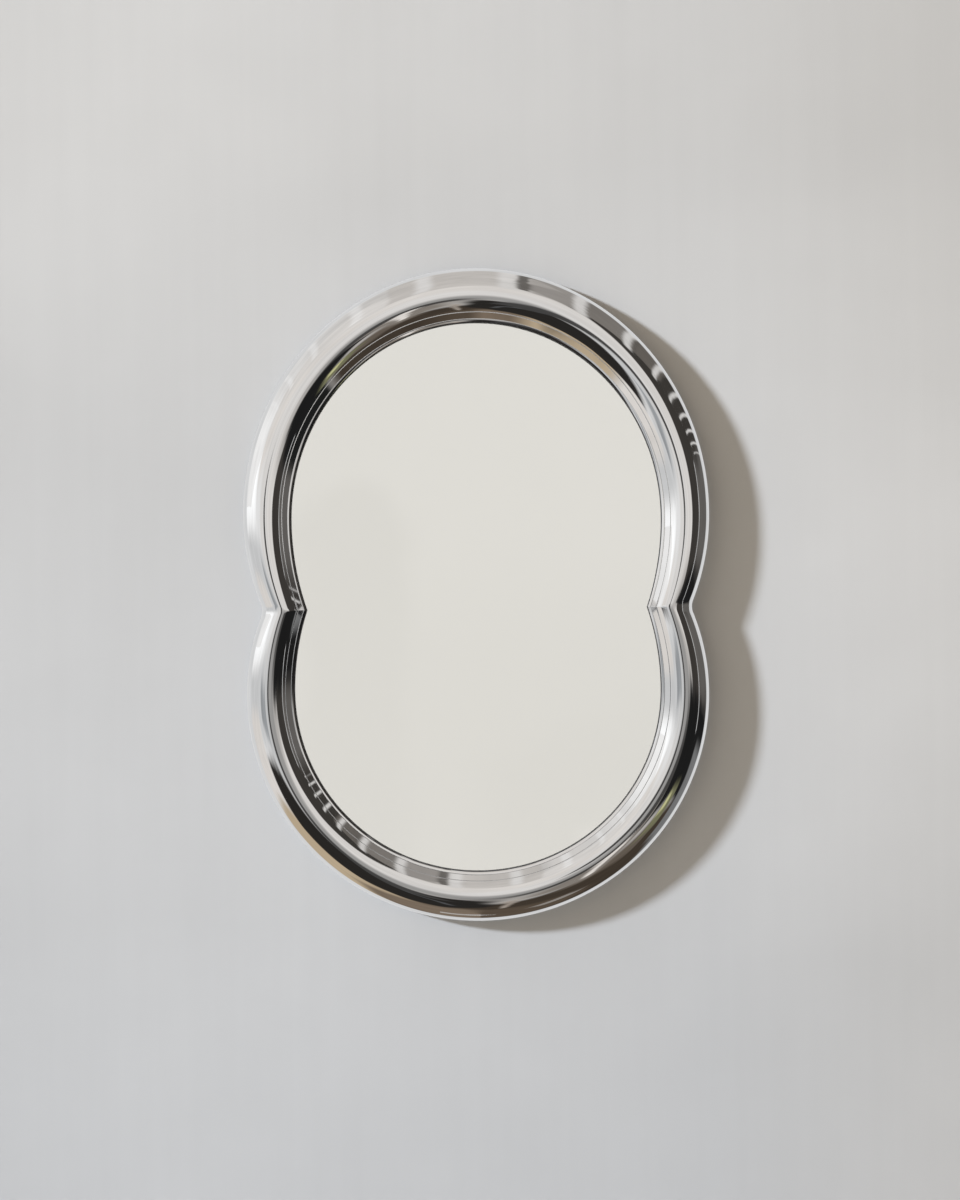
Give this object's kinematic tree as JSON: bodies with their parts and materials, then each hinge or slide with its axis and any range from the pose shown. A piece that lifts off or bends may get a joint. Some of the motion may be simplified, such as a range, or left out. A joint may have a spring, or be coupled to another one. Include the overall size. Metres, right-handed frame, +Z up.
{
  "type": "wall mirror",
  "caption": "Wall mirror with a two-lobed outline: a broad rolled and polished metal frame, pinched at the waist, holds flat glass, and hidden D rings hang it.",
  "frame": {"origin": "on the wall plane, behind the middle of the mirror, halfway up", "axes": "+Z up, +X to the right seen from the front, the front faces -Y and the wall is +Y"},
  "size_m": [0.5, 0.03, 0.7],
  "materials": {
    "polished_metal": "cast, mirror polished by hand",
    "silvered_glass": "silvered at the back, edges ground",
    "black_foam_tape": "closed-cell foam tape",
    "setting_rubber": "hard rubber",
    "white_foam": "thin closed-cell foam sheet",
    "black_board": "fibre board, painted black",
    "zinc_steel": "zinc plated",
    "nickel_steel": "nickel plated",
    "bumper_rubber": "soft rubber"
  },
  "bodies": {
    "mirror": {"frame": "polished_metal", "mirror_glass": "silvered_glass", "glazing_tape": "black_foam_tape", "left_setting_pad": "setting_rubber", "right_setting_pad": "setting_rubber", "foam_sheet": "white_foam", "backing_board": "black_board", "board_screws": "zinc_steel", "hanger_screws": "zinc_steel", "left_hanger_strap": "nickel_steel", "right_hanger_strap": "nickel_steel", "upper_left_bumper": "bumper_rubber", "upper_right_bumper": "bumper_rubber", "lower_left_bumper": "bumper_rubber", "lower_right_bumper": "bumper_rubber"},
    "left_ring": {"left_hanger_ring": "nickel_steel"},
    "right_ring": {"right_hanger_ring": "nickel_steel"}
  },
  "joints": [
    {"name": "left_ring_swing", "type": "hinge", "parent": "mirror", "child": "left_ring", "pos_m": [-0.233, -0.00445, 0.104], "axis": [1, 0, 0], "range_deg": [0, 180]},
    {"name": "right_ring_swing", "type": "hinge", "parent": "mirror", "child": "right_ring", "pos_m": [0.233, -0.00445, 0.104], "axis": [1, 0, 0], "range_deg": [0, 180]}
  ]
}
